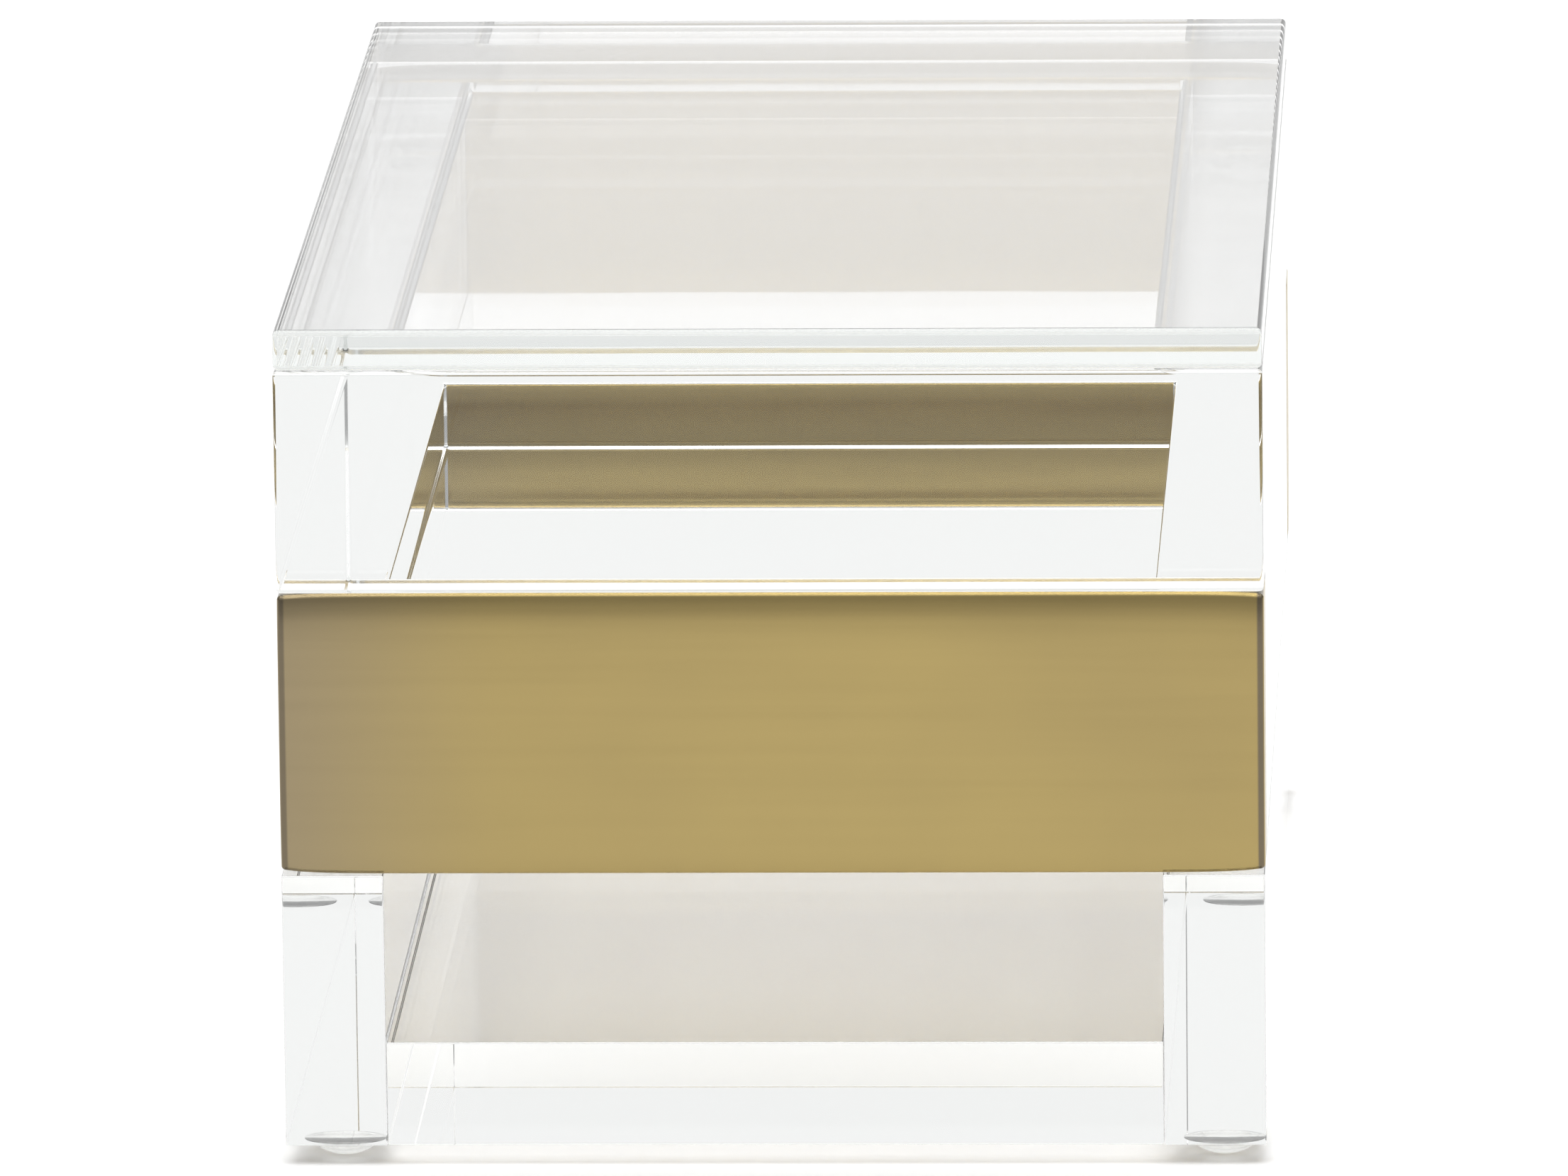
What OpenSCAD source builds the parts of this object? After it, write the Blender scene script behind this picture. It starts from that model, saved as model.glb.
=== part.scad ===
// Card box of clear acrylic with two brass bars and a lift-off lid.
// +X is the box's right, -Y its front and +Z up. The origin is on the table, under its centre.

/* [Box] */
// Width across the front
box_w = 152.4; // [130:0.1:200]
// Depth from front to back
box_d = 254; // [180:0.5:320]
// Thickness of the leg walls and of all the bars
wall_t = 15.9; // [13:0.1:20]
// Radius on the edges of the acrylic pieces
acrylic_edge_r = 0.5; // [0.2:0.1:1]

/* [Base] */
// Height of the two leg walls
leg_h = 43.1; // [35:0.1:60]
// Thickness of the floor slab between the leg walls
floor_t = 16.5; // [10:0.1:25]

/* [Bars] */
// Height of the brass bars and of the acrylic side bars
bar_h = 44.6; // [30:0.1:60]
// Radius on the edges of the brass bars
brass_edge_r = 1.2; // [0.4:0.1:2]

/* [Lid] */
// Height of the lid's solid block
block_h = 35.1; // [20:0.1:50]
// Thickness of the plate on top of the block
plate_t = 6.5; // [4:0.1:10]
// Radius on the edges of the plate
plate_edge_r = 1.2; // [0.4:0.1:1.8]
// Height of the plug under the block
plug_h = 10.6; // [6:0.1:20]
// Gap between the plug and the bars around it
plug_gap = 1; // [0.5:0.1:3]

/* [Feet] */
// Diameter of a bumper foot
foot_d = 12.7; // [8:0.1:13]
// Height of a bumper foot
foot_h = 3; // [2:0.1:4]
// Radius of the flat that a bumper foot stands on
foot_flat_r = 1.8; // [1:0.1:3]
// From the box's left face to the centres of its left feet
foot_from_left = 9; // [6.5:0.1:9]
// From the box's right face to the centres of its right feet
foot_from_right = 6.6; // [6.5:0.1:9]
// From the front and back faces to the centres of the feet
foot_from_end = 8; // [6.5:0.1:20]

/* [Hidden] */
$fn = 64;

left_x = -box_w / 2;
front_y = -box_d / 2;
opening_w = box_w - 2 * wall_t;
opening_d = box_d - 2 * wall_t;
bar_z = foot_h + leg_h;
block_z = bar_z + bar_h;
plate_z = block_z + block_h;

acrylic = [0.86, 0.90, 0.90, 0.5];
brass = [0.70, 0.63, 0.42];
bumper = [0.94, 0.94, 0.94, 0.8];

// A rectangle with rounded corners, and its lower left corner at the origin.
module eased_rectangle(w, h, r) {
    translate([r, 0])
        square([w - 2 * r, h]);
    translate([0, r])
        square([w, h - 2 * r]);
    for (x = [r, w - r], y = [r, h - r])
        translate([x, y])
            circle(r);
}

// A block with all its edges rounded, and its lower left front corner at the origin.
module eased_block(size, r) {
    intersection() {
        linear_extrude(size.z)
            eased_rectangle(size.x, size.y, r);
        translate([0, size.y, 0])
            rotate([90, 0, 0])
                linear_extrude(size.y)
                    eased_rectangle(size.x, size.z, r);
        rotate([90, 0, 90])
            linear_extrude(size.x)
                eased_rectangle(size.y, size.z, r);
    }
}

// A brass bar across the whole width, with its front face at y.
module brass_bar(y) {
    color(brass)
        translate([left_x, y, bar_z])
            eased_block([box_w, wall_t, bar_h], brass_edge_r);
}

// An acrylic bar along one side, between the two brass bars.
module side_bar(x) {
    color(acrylic)
        translate([x, front_y + wall_t, bar_z])
            eased_block([wall_t, opening_d, bar_h], acrylic_edge_r);
}

// One of the two walls that the box stands on.
module leg_wall(x) {
    color(acrylic)
        translate([x, front_y, foot_h])
            eased_block([wall_t, box_d, leg_h], acrylic_edge_r);
}

// A domed bumper foot: a slice of a ball, narrow end down.
module bumper_foot(x, y) {
    foot_r = foot_d / 2;
    ball_z = (foot_r ^ 2 + foot_h ^ 2 - foot_flat_r ^ 2) / (2 * foot_h);
    ball_r = sqrt(foot_flat_r ^ 2 + ball_z ^ 2);
    color(bumper)
        translate([x, y, 0])
            rotate_extrude()
                intersection() {
                    translate([0, ball_z])
                        circle(ball_r);
                    square([foot_r, foot_h]);
                }
}

// The thin plate that covers the lid's block.
module lid_plate() {
    color(acrylic)
        translate([left_x, front_y, plate_z])
            eased_block([box_w, box_d, plate_t], plate_edge_r);
}

// The solid block that covers the box from edge to edge.
module lid_block() {
    color(acrylic)
        translate([left_x, front_y, block_z])
            eased_block([box_w, box_d, block_h], acrylic_edge_r);
}

// The plug under the block, which drops between the bars and keeps the lid in place.
module lid_plug() {
    inset = wall_t + plug_gap;
    color(acrylic)
        translate([left_x + inset, front_y + inset, block_z - plug_h])
            eased_block([box_w - 2 * inset, box_d - 2 * inset, plug_h], acrylic_edge_r);
}

module front_bar() {
    brass_bar(front_y);
}

module back_bar() {
    brass_bar(-front_y - wall_t);
}

module left_side_bar() {
    side_bar(left_x);
}

module right_side_bar() {
    side_bar(-left_x - wall_t);
}

module left_leg_wall() {
    leg_wall(left_x);
}

module right_leg_wall() {
    leg_wall(-left_x - wall_t);
}

// The floor that the cards lie on, between the leg walls.
module floor_slab() {
    color(acrylic)
        translate([left_x + wall_t, front_y, foot_h])
            eased_block([opening_w, box_d, floor_t], acrylic_edge_r);
}

module foot_front_left() {
    bumper_foot(left_x + foot_from_left, front_y + foot_from_end);
}

module foot_front_right() {
    bumper_foot(-left_x - foot_from_right, front_y + foot_from_end);
}

module foot_back_left() {
    bumper_foot(left_x + foot_from_left, -front_y - foot_from_end);
}

module foot_back_right() {
    bumper_foot(-left_x - foot_from_right, -front_y - foot_from_end);
}

lid_plate();
lid_block();
lid_plug();
front_bar();
back_bar();
left_side_bar();
right_side_bar();
left_leg_wall();
right_leg_wall();
floor_slab();
foot_front_left();
foot_front_right();
foot_back_left();
foot_back_right();
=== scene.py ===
"""Looks of the card box: clear acrylic blocks, satin brass bars and clear bumper feet.

Every acrylic piece is a closed refracting body. A thin film of air parts it from its neighbours,
as at a dry joint, so its faces mirror light from inside. The feet alone are bedded into theirs.
"""
import math

import bmesh
import bpy
from mathutils import Matrix, Vector


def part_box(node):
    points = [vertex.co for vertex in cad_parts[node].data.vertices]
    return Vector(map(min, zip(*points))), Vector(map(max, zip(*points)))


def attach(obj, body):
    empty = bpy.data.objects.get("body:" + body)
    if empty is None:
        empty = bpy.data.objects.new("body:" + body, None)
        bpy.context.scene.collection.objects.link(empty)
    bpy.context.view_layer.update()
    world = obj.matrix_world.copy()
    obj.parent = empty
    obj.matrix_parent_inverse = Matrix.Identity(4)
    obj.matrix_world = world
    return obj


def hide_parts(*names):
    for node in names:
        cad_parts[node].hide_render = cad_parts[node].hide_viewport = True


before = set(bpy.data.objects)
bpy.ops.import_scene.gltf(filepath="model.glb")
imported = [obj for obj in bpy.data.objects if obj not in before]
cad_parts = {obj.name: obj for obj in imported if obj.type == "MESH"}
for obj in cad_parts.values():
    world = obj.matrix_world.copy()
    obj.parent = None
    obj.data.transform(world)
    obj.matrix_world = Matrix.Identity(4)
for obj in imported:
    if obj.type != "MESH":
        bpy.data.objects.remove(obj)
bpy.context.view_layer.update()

MM = 0.001

# Camera: what it looks at, where from, and how long its lens is.
CAMERA_TARGET = Vector((2.3 * MM, -127 * MM, 91.6 * MM))
CAMERA_AZIMUTH = math.radians(2.505)
CAMERA_ELEVATION = math.radians(12.561)
CAMERA_ROLL = math.radians(-0.671)
CAMERA_DISTANCE = 2.857
CAMERA_LENS_MM = 425.6
CAMERA_SENSOR_MM = 36

# Joints, edges and the sunken edges of the brass faces.
AIR = 0.05 * MM
ACRYLIC_EDGE = 0.5 * MM
JOINT_EDGE = 0.25 * MM
PLATE_EDGE = 0.9 * MM
PLUG_EDGE = 0.7 * MM
ROUND_SEGMENTS = 6
SHARP_ANGLE = math.radians(30)
BRASS_EDGE = 0.6 * MM
BRASS_EDGE_STEPS = 5
BRASS_FACE_STEPS = (60, 12, 40)
FACE_SINK = 1.0 * MM
FACE_SINK_REACH = 3.2 * MM
TOP_SINK = 0.6 * MM
TOP_SINK_REACH = 4.0 * MM

# Feet.
FOOT_BED = 0.03 * MM
FOOT_FLAT_R = 1.8 * MM
FOOT_STEPS_UP = 14
FOOT_STEPS_ROUND = 72

# Acrylic and clear rubber. The density is how strongly the tint shows along a way through it.
ACRYLIC_IOR = 1.49
ACRYLIC_TINT = (0.935, 0.942, 0.938, 1)
BLOCK_DENSITY = 6.0
SHEET_DENSITY = 14.0
ACRYLIC_HAZE = (0.0, 0.012)
WAVE_HEIGHT = 0.05 * MM
RUBBER_IOR = 1.45
RUBBER_COLOUR = (0.93, 0.93, 0.92, 1)
RUBBER_HAZE = (0.02, 0.10)

# Brass.
BRASS_DARK = (0.37, 0.283, 0.119, 1)
BRASS_LIGHT = (0.41, 0.313, 0.125, 1)
# Painted reflection: the bar is painted duller and greyer towards its left end, in place of a darker
# thing it reflects there.
BRASS_PAINTED_DIM_REFLECTION = (0.29, 0.235, 0.148, 1)
# Painted reflection: dark strips are painted on the bar's rounded ends, where they turn away and
# reflect dark surroundings.
BRASS_PAINTED_END_SHADE = (0.17, 0.14, 0.095, 1)
DIM_REFLECTION_FROM_TO = (-38 * MM, -86 * MM)
END_SHADE_FROM_TO = (75.0 * MM, 76.2 * MM)
END_SHADE_GREYS = ((0.0, 0), (0.25, 1), (0.8, 1), (0.97, 0))
BRASS_ROUGHNESS = (0.18, 0.27)
BRUSHING_HEIGHT = 0.02 * MM

# Light and floor. Each pair of greys is the sine of the height looked at, and the grey there.
WORLD_STRENGTH = 1.05
TENT_GREYS = ((0.0, 0.94), (0.35, 0.94), (0.6, 1.0))
FLAG_GREYS = ((0.0, 0.9), (0.1, 0.9), (0.15, 0.35), (0.5, 0.35), (0.62, 1.0))
ROOM_GREYS = ((0.0, 0.60), (0.14, 0.60), (0.2, 0.42), (0.34, 0.42), (0.45, 0.95))
FLAG_LIMITS = (0.55, 0.85)
ROOM_LIMITS = (0.0, -0.7)
SOFTBOX_WATTS = 26
SOFTBOX_SIDE = 2.4
SOFTBOX_PLACE = Vector((0, 0.05, 2.2))
PAPER_GREY = 0.92
FLOOR_HALF = 6.0
BOUNCES = 32


# ---------------------------------------------------------------- materials

def new_material(name):
    """An empty node material, with its node tree and its output node."""
    material = bpy.data.materials.new(name)
    material.use_nodes = True
    tree = material.node_tree
    tree.nodes.clear()
    output = tree.nodes.new("ShaderNodeOutputMaterial")
    return material, tree, output


def noise(tree, scale, detail=3.0, stretch=(1, 1, 1)):
    """A noise texture in the object's own coordinates."""
    coordinates = tree.nodes.new("ShaderNodeTexCoord")
    mapping = tree.nodes.new("ShaderNodeMapping")
    mapping.inputs["Scale"].default_value = stretch
    texture = tree.nodes.new("ShaderNodeTexNoise")
    texture.inputs["Scale"].default_value = scale
    texture.inputs["Detail"].default_value = detail
    tree.links.new(coordinates.outputs["Object"], mapping.inputs["Vector"])
    tree.links.new(mapping.outputs["Vector"], texture.inputs["Vector"])
    return texture.outputs["Fac"]


def ranged(tree, value, limits, results=(0, 1), easing="LINEAR"):
    """The value moved from between the limits to between the results, and kept there."""
    node = tree.nodes.new("ShaderNodeMapRange")
    node.interpolation_type = easing
    node.inputs["From Min"].default_value = limits[0]
    node.inputs["From Max"].default_value = limits[1]
    node.inputs["To Min"].default_value = results[0]
    node.inputs["To Max"].default_value = results[1]
    tree.links.new(value, node.inputs["Value"])
    return node.outputs["Result"]


def spread(tree, value, results=(0, 1)):
    """The value, which runs from about 0.3 to 0.7 in a noise, spread between the results."""
    return ranged(tree, value, (0.3, 0.7), results)


def absolute(tree, value):
    """The size of the value, whatever its sign."""
    node = tree.nodes.new("ShaderNodeMath")
    node.operation = "ABSOLUTE"
    tree.links.new(value, node.inputs[0])
    return node.outputs["Value"]


def coordinate(tree, kind):
    """The X, Y and Z of one kind of texture coordinate."""
    coordinates = tree.nodes.new("ShaderNodeTexCoord")
    parts = tree.nodes.new("ShaderNodeSeparateXYZ")
    tree.links.new(coordinates.outputs[kind], parts.inputs["Vector"])
    return parts.outputs


def set_or_link(tree, source, socket):
    """Gives the socket a colour, or the colour that comes out of a node."""
    if isinstance(source, tuple):
        socket.default_value = source
    else:
        tree.links.new(source, socket)


def mixed(tree, factor, first, second):
    """The first colour at factor 0, the second at 1."""
    node = tree.nodes.new("ShaderNodeMix")
    node.data_type = "RGBA"
    tree.links.new(factor, node.inputs["Factor"])
    set_or_link(tree, first, node.inputs["A"])
    set_or_link(tree, second, node.inputs["B"])
    return node.outputs["Result"]


def bump(tree, height, distance, strength):
    """A bump of that height map."""
    node = tree.nodes.new("ShaderNodeBump")
    node.inputs["Strength"].default_value = strength
    node.inputs["Distance"].default_value = distance
    tree.links.new(height, node.inputs["Height"])
    return node.outputs["Normal"]


def grey_ramp(tree, value, stops):
    """The grey that the stops give for the value."""
    ramp = tree.nodes.new("ShaderNodeValToRGB")
    ramp.color_ramp.elements[0].position = stops[0][0]
    ramp.color_ramp.elements[0].color = (stops[0][1],) * 3 + (1,)
    ramp.color_ramp.elements[1].position = stops[-1][0]
    ramp.color_ramp.elements[1].color = (stops[-1][1],) * 3 + (1,)
    for place, grey in stops[1:-1]:
        ramp.color_ramp.elements.new(place).color = (grey,) * 3 + (1,)
    tree.links.new(value, ramp.inputs["Fac"])
    return ramp.outputs["Color"]


def acrylic_material(name, density):
    """Polished acrylic: clear, a little uneven in its polish, and tinted along a long way."""
    material, tree, output = new_material(name)
    shader = tree.nodes.new("ShaderNodeBsdfPrincipled")
    shader.inputs["Base Color"].default_value = (1, 1, 1, 1)
    shader.inputs["IOR"].default_value = ACRYLIC_IOR
    shader.inputs["Transmission Weight"].default_value = 1
    polish = noise(tree, 40, detail=4)
    tree.links.new(spread(tree, polish, ACRYLIC_HAZE), shader.inputs["Roughness"])
    waviness = bump(tree, noise(tree, 14, detail=1), WAVE_HEIGHT, 0.2)
    tree.links.new(waviness, shader.inputs["Normal"])
    absorption = tree.nodes.new("ShaderNodeVolumeAbsorption")
    absorption.inputs["Color"].default_value = ACRYLIC_TINT
    absorption.inputs["Density"].default_value = density
    tree.links.new(shader.outputs["BSDF"], output.inputs["Surface"])
    tree.links.new(absorption.outputs["Volume"], output.inputs["Volume"])
    return material


def brass_material():
    """Satin brass: uneven tone, a painted dim reflection towards the left, painted dark reflections
    on its rounded ends, finely brushed.
    """
    material, tree, output = new_material("satin_brass")
    shader = tree.nodes.new("ShaderNodeBsdfPrincipled")
    shader.inputs["Metallic"].default_value = 1
    tone = mixed(tree, spread(tree, noise(tree, 18)), BRASS_DARK, BRASS_LIGHT)
    place = coordinate(tree, "Object")
    # Painted reflection: duller and greyer towards the left end.
    painted_dim_reflection = ranged(tree, place["X"], DIM_REFLECTION_FROM_TO, easing="SMOOTHSTEP")
    with_dim_reflection = mixed(tree, painted_dim_reflection, tone, BRASS_PAINTED_DIM_REFLECTION)
    # Painted reflection: dark strips on the rounded ends of the bar.
    at_end = ranged(tree, absolute(tree, place["X"]), END_SHADE_FROM_TO)
    painted_end_shade = grey_ramp(tree, at_end, END_SHADE_GREYS)
    colour = mixed(tree, painted_end_shade, with_dim_reflection, BRASS_PAINTED_END_SHADE)
    tree.links.new(colour, shader.inputs["Base Color"])
    brushing = noise(tree, 400, detail=5, stretch=(0.03, 1, 1))
    tree.links.new(spread(tree, brushing, BRASS_ROUGHNESS), shader.inputs["Roughness"])
    tree.links.new(bump(tree, brushing, BRUSHING_HEIGHT, 0.05), shader.inputs["Normal"])
    tree.links.new(shader.outputs["BSDF"], output.inputs["Surface"])
    return material


def bumper_material():
    """Clear soft rubber, a little hazy."""
    material, tree, output = new_material("clear_bumper")
    shader = tree.nodes.new("ShaderNodeBsdfPrincipled")
    shader.inputs["Base Color"].default_value = RUBBER_COLOUR
    shader.inputs["IOR"].default_value = RUBBER_IOR
    shader.inputs["Transmission Weight"].default_value = 1
    haze = spread(tree, noise(tree, 900), RUBBER_HAZE)
    tree.links.new(haze, shader.inputs["Roughness"])
    tree.links.new(shader.outputs["BSDF"], output.inputs["Surface"])
    return material


def floor_material():
    """Matt white paper."""
    material, tree, output = new_material("white_paper")
    shader = tree.nodes.new("ShaderNodeBsdfPrincipled")
    shader.inputs["Base Color"].default_value = (PAPER_GREY, PAPER_GREY, PAPER_GREY, 1)
    shader.inputs["Roughness"].default_value = 0.9
    tree.links.new(shader.outputs["BSDF"], output.inputs["Surface"])
    return material


# ---------------------------------------------------------------- pieces

def new_piece(name, shape, material, weighted=True):
    """A finished piece from a bmesh. Weighted normals keep its large flat faces flat."""
    bmesh.ops.recalc_face_normals(shape, faces=shape.faces)
    mesh = bpy.data.meshes.new(name)
    shape.to_mesh(mesh)
    shape.free()
    mesh.materials.append(material)
    for face in mesh.polygons:
        face.use_smooth = True
    piece = bpy.data.objects.new(name, mesh)
    bpy.context.scene.collection.objects.link(piece)
    if weighted:
        keep_flat = piece.modifiers.new("keep_flat", "WEIGHTED_NORMAL")
        keep_flat.weight = 100
    return piece


def add_box(shape, low, high):
    """Adds a plain box to a bmesh."""
    middle = (low + high) / 2
    size = high - low
    place = Matrix.Translation(middle) @ Matrix.Diagonal((*size, 1))
    bmesh.ops.create_cube(shape, size=1, matrix=place)


def round_edges(shape, edges, radius):
    """Rounds those edges of a bmesh."""
    bmesh.ops.bevel(
        shape,
        geom=list(edges),
        offset=radius,
        segments=ROUND_SEGMENTS,
        profile=0.5,
        affect="EDGES",
        clamp_overlap=True,
    )


def block(name, node, material, radius, drop=0.0):
    """A block with rounded edges that stands for a CAD node, shrunk by the film of air."""
    low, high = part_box(node)
    air = Vector((AIR, AIR, AIR))
    low = low + air
    high = high - air
    low.z -= drop
    shape = bmesh.new()
    add_box(shape, low, high)
    round_edges(shape, shape.edges, radius)
    piece = new_piece(name, shape, material)
    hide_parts(node)
    return piece


def lid_solid(material):
    """The lid's block and the plug under it, glued without a bubble: one body of acrylic."""
    low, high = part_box("lid_block")
    plug_low, plug_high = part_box("lid_plug")
    low.z += AIR
    high.z -= AIR
    shape = bmesh.new()
    rings = []
    for corner_low, corner_high, z in (
        (low, high, high.z),
        (low, high, low.z),
        (plug_low, plug_high, low.z),
        (plug_low, plug_high, plug_low.z),
    ):
        xs = (corner_low.x, corner_high.x, corner_high.x, corner_low.x)
        ys = (corner_low.y, corner_low.y, corner_high.y, corner_high.y)
        rings.append([shape.verts.new((x, y, z)) for x, y in zip(xs, ys)])
    shape.faces.new(rings[0])
    shape.faces.new(rings[-1])
    for upper, lower in zip(rings, rings[1:]):
        for i in range(4):
            j = (i + 1) % 4
            shape.faces.new((upper[i], upper[j], lower[j], lower[i]))
    bmesh.ops.recalc_face_normals(shape, faces=shape.faces)
    sharp = [e for e in shape.edges if abs(e.calc_face_angle_signed()) > SHARP_ANGLE]
    round_edges(shape, sharp, PLUG_EDGE)
    piece = new_piece("lid_block_and_plug", shape, material)
    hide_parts("lid_block", "lid_plug")
    return piece


def edge_stops(half, radius, steps, far_steps):
    """Places along half of a side: close together in its rounded end, then further apart."""
    bend = [radius * math.tan(math.radians(45) * k / steps) for k in range(steps + 1)]
    outer = [half - radius + b for b in bend]
    span = half - radius
    inner = [span * (1 - (1 - k / far_steps) ** 2) for k in range(far_steps)]
    return inner + outer


def both_ways(stops):
    """The stops and their mirror images, in order."""
    return [-v for v in reversed(stops[1:])] + stops


def pillow(distance, depth, reach):
    """How far a polished face has sunk at that distance from its edge."""
    return depth * math.exp(-distance / reach)


def brass_bar(name, node, material):
    """A brass bar with rounded edges, whose faces sink towards them as polishing leaves them."""
    low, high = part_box(node)
    middle = (low + high) / 2
    half = (high - low) / 2
    stops = [both_ways(edge_stops(side, BRASS_EDGE, BRASS_EDGE_STEPS, steps))
             for side, steps in zip(half, BRASS_FACE_STEPS)]
    found = {}
    shape = bmesh.new()

    def vertex(point):
        """The bar's own vertex for a point on the plain box: rounded first, then sunk."""
        key = tuple(round(v / MM, 4) for v in point)
        if key not in found:
            core = Vector([max(-h + BRASS_EDGE, min(h - BRASS_EDGE, v))
                           for v, h in zip(point, half)])
            place = core + (point - core).normalized() * BRASS_EDGE
            from_end = half.x - abs(place.x)
            from_edge = half.z - abs(place.z)
            sunk_face = (pillow(from_edge, FACE_SINK, FACE_SINK_REACH)
                         + pillow(from_end, FACE_SINK, FACE_SINK_REACH) / 2)
            sunk_top = pillow(from_end, TOP_SINK, TOP_SINK_REACH)
            place.y *= 1 - sunk_face / half.y
            place.z *= 1 - sunk_top / half.z
            found[key] = shape.verts.new(middle + place)
        return found[key]

    for axis in range(3):
        across, along = [a for a in range(3) if a != axis]
        for side in (-half[axis], half[axis]):
            for u0, u1 in zip(stops[across], stops[across][1:]):
                for v0, v1 in zip(stops[along], stops[along][1:]):
                    corners = []
                    for u, v in ((u0, v0), (u1, v0), (u1, v1), (u0, v1)):
                        point = Vector((0, 0, 0))
                        point[axis] = side
                        point[across] = u
                        point[along] = v
                        corners.append(vertex(point))
                    shape.faces.new(corners)
    piece = new_piece(name, shape, material, weighted=False)
    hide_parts(node)
    return piece


def foot(name, node, material):
    """A domed bumper foot, bedded into the underside of its leg wall."""
    low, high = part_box(node)
    middle = (low + high) / 2
    rim_r = (high.x - low.x) / 2
    height = high.z - low.z
    ball_z = (rim_r**2 + height**2 - FOOT_FLAT_R**2) / (2 * height)
    ball_r = math.hypot(FOOT_FLAT_R, ball_z)
    profile = [(0.0, 0.0)]
    for i in range(FOOT_STEPS_UP + 1):
        z = height * i / FOOT_STEPS_UP
        profile.append((math.sqrt(ball_r**2 - (ball_z - z) ** 2), z))
    profile.append((0.0, height))
    shape = bmesh.new()
    rings = []
    for r, z in profile:
        if r == 0:
            rings.append([shape.verts.new((middle.x, middle.y, low.z + z))])
            continue
        turns = [2 * math.pi * k / FOOT_STEPS_ROUND for k in range(FOOT_STEPS_ROUND)]
        rings.append([
            shape.verts.new((middle.x + r * math.cos(a), middle.y + r * math.sin(a), low.z + z))
            for a in turns
        ])
    for lower, upper in zip(rings, rings[1:]):
        for k in range(FOOT_STEPS_ROUND):
            n = (k + 1) % FOOT_STEPS_ROUND
            corners = []
            for vertex in (lower[k % len(lower)], lower[n % len(lower)],
                           upper[n % len(upper)], upper[k % len(upper)]):
                if vertex not in corners:
                    corners.append(vertex)
            shape.faces.new(corners)
    piece = new_piece(name, shape, material)
    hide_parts(node)
    return piece


# ---------------------------------------------------------------- stage

def add_camera():
    """A camera with a long lens, in front of the box and a little above it."""
    data = bpy.data.cameras.new("camera")
    data.lens = CAMERA_LENS_MM
    data.sensor_width = CAMERA_SENSOR_MM
    data.clip_end = 50
    camera = bpy.data.objects.new("camera", data)
    bpy.context.scene.collection.objects.link(camera)
    back = Vector((
        math.sin(CAMERA_AZIMUTH) * math.cos(CAMERA_ELEVATION),
        -math.cos(CAMERA_AZIMUTH) * math.cos(CAMERA_ELEVATION),
        math.sin(CAMERA_ELEVATION),
    ))
    turn = back.to_track_quat("Z", "Y").to_matrix().to_4x4()
    roll = Matrix.Rotation(CAMERA_ROLL, 4, "Z")
    camera.matrix_world = Matrix.Translation(CAMERA_TARGET + CAMERA_DISTANCE * back) @ turn @ roll
    bpy.context.scene.camera = camera


def add_floor(material):
    """A wide sheet of paper under the feet."""
    mesh = bpy.data.meshes.new("floor")
    signs = ((-1, -1), (1, -1), (1, 1), (-1, 1))
    corners = [(x * FLOOR_HALF, y * FLOOR_HALF, 0) for x, y in signs]
    mesh.from_pydata(corners, [], [(0, 1, 2, 3)])
    mesh.materials.append(material)
    floor = bpy.data.objects.new("floor", mesh)
    bpy.context.scene.collection.objects.link(floor)


def add_softbox():
    """A large soft light, which shines straight down from above the box."""
    data = bpy.data.lights.new("softbox_above", "AREA")
    data.shape = "RECTANGLE"
    data.size = SOFTBOX_SIDE
    data.size_y = SOFTBOX_SIDE
    data.energy = SOFTBOX_WATTS
    light = bpy.data.objects.new("softbox_above", data)
    light.location = SOFTBOX_PLACE
    light.rotation_euler = Vector((0, 0, -1)).to_track_quat("-Z", "Y").to_euler()
    bpy.context.scene.collection.objects.link(light)


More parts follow.
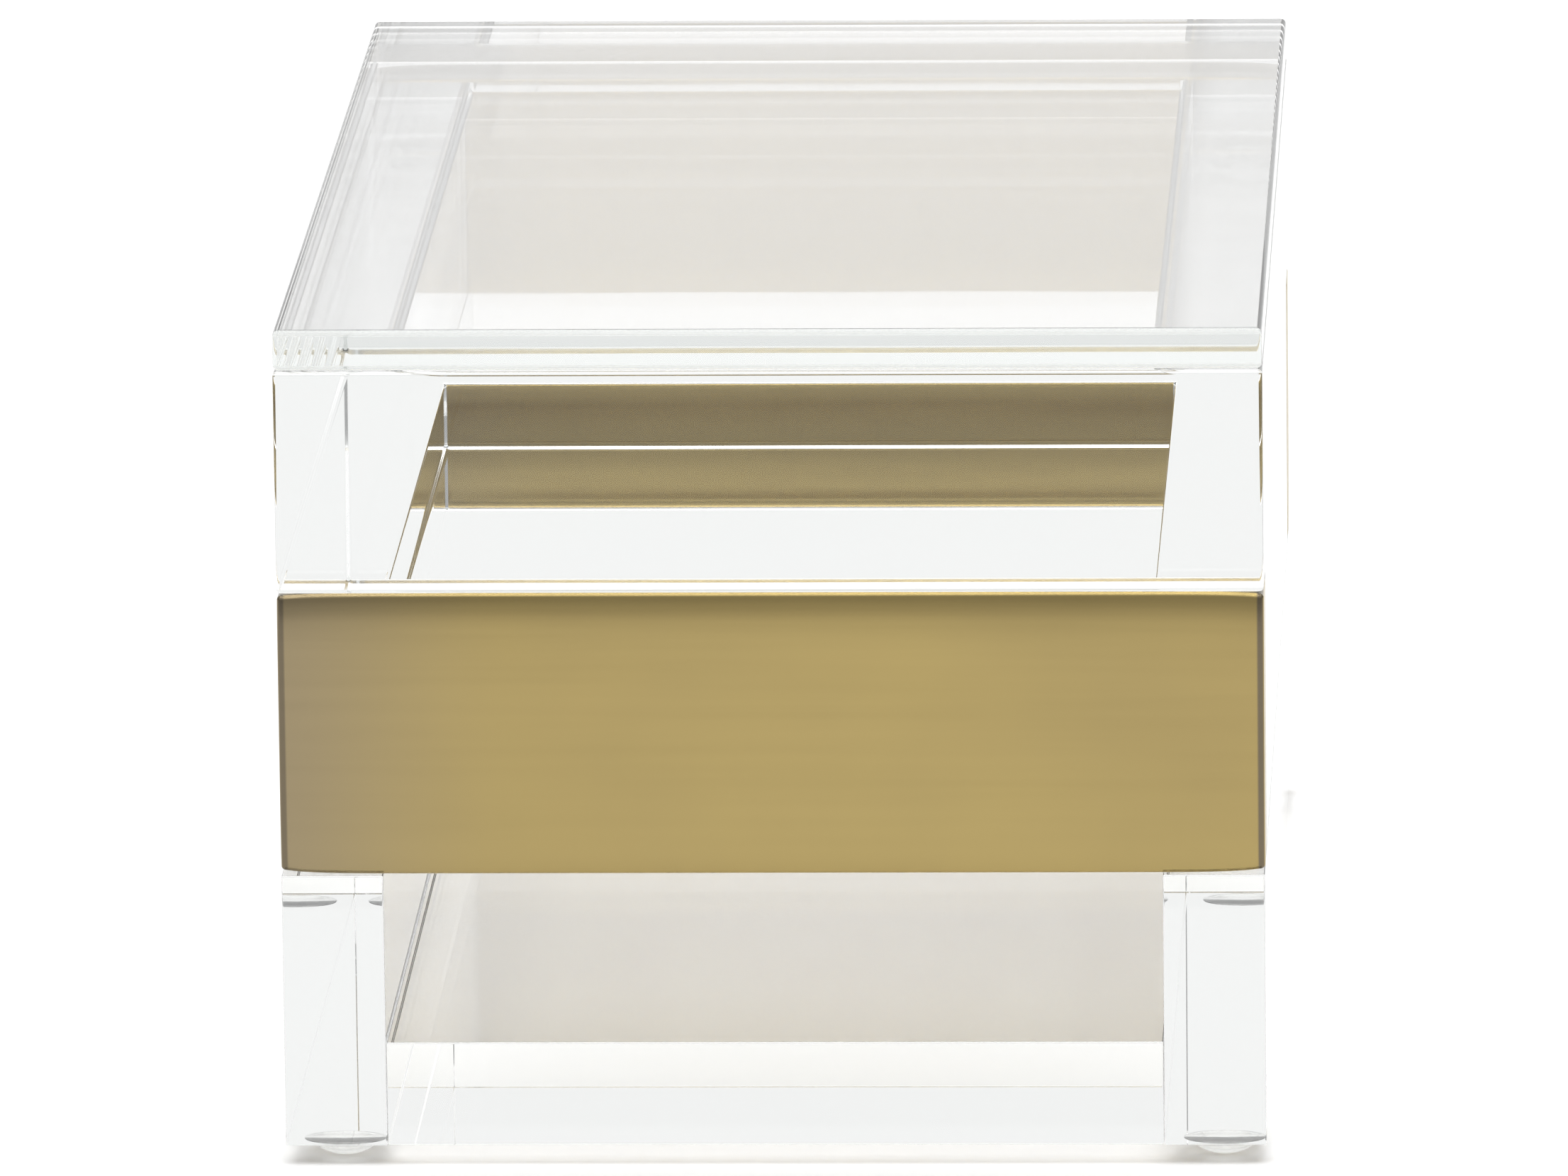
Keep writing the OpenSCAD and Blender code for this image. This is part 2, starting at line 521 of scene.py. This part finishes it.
def add_world():
    """A bright tent behind, dark flags at both sides, and a duller room behind the camera."""
    world = bpy.data.worlds.new("tent")
    world.use_nodes = True
    bpy.context.scene.world = world
    tree = world.node_tree
    background = tree.nodes["Background"]
    background.inputs["Strength"].default_value = WORLD_STRENGTH
    looked = coordinate(tree, "Generated")
    tent = grey_ramp(tree, looked["Z"], TENT_GREYS)
    room = grey_ramp(tree, looked["Z"], ROOM_GREYS)
    flags = grey_ramp(tree, looked["Z"], FLAG_GREYS)
    sideways = ranged(tree, absolute(tree, looked["X"]), FLAG_LIMITS)
    towards_camera = ranged(tree, looked["Y"], ROOM_LIMITS)
    with_flags = mixed(tree, sideways, tent, flags)
    greys = mixed(tree, towards_camera, with_flags, room)
    tree.links.new(greys, background.inputs["Color"])


def set_light_paths():
    """Enough bounces for light to cross the whole box, and nothing that dims it on the way."""
    cycles = bpy.context.scene.cycles
    cycles.max_bounces = BOUNCES
    cycles.transmission_bounces = BOUNCES
    cycles.glossy_bounces = BOUNCES
    cycles.diffuse_bounces = 4
    cycles.blur_glossy = 0
    cycles.use_denoising = True
    bpy.context.scene.view_settings.view_transform = "Standard"


# ---------------------------------------------------------------- the model

acrylic = acrylic_material("clear_acrylic", BLOCK_DENSITY)
sheet_acrylic = acrylic_material("clear_acrylic_sheet", SHEET_DENSITY)
brass = brass_material()
bumper = bumper_material()

add_camera()

LID_PIECES = [
    block("top_plate", "lid_plate", sheet_acrylic, PLATE_EDGE),
    lid_solid(acrylic),
]
for piece in LID_PIECES:
    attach(piece, "lid")

for node, edge in (
    ("left_side_bar", ACRYLIC_EDGE),
    ("right_side_bar", ACRYLIC_EDGE),
    ("floor_slab", JOINT_EDGE),
):
    piece = block("clear_" + node, node, acrylic, edge)
    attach(piece, "box")

for node in ("left_leg_wall", "right_leg_wall"):
    piece = block("clear_" + node, node, acrylic, JOINT_EDGE, drop=AIR + FOOT_BED)
    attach(piece, "box")

for node in ("front_bar", "back_bar"):
    piece = brass_bar("brass_" + node, node, brass)
    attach(piece, "box")

for node in ("foot_front_left", "foot_front_right", "foot_back_left", "foot_back_right"):
    piece = foot("bumper_" + node, node, bumper)
    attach(piece, "box")

add_floor(floor_material())
add_softbox()
add_world()
set_light_paths()
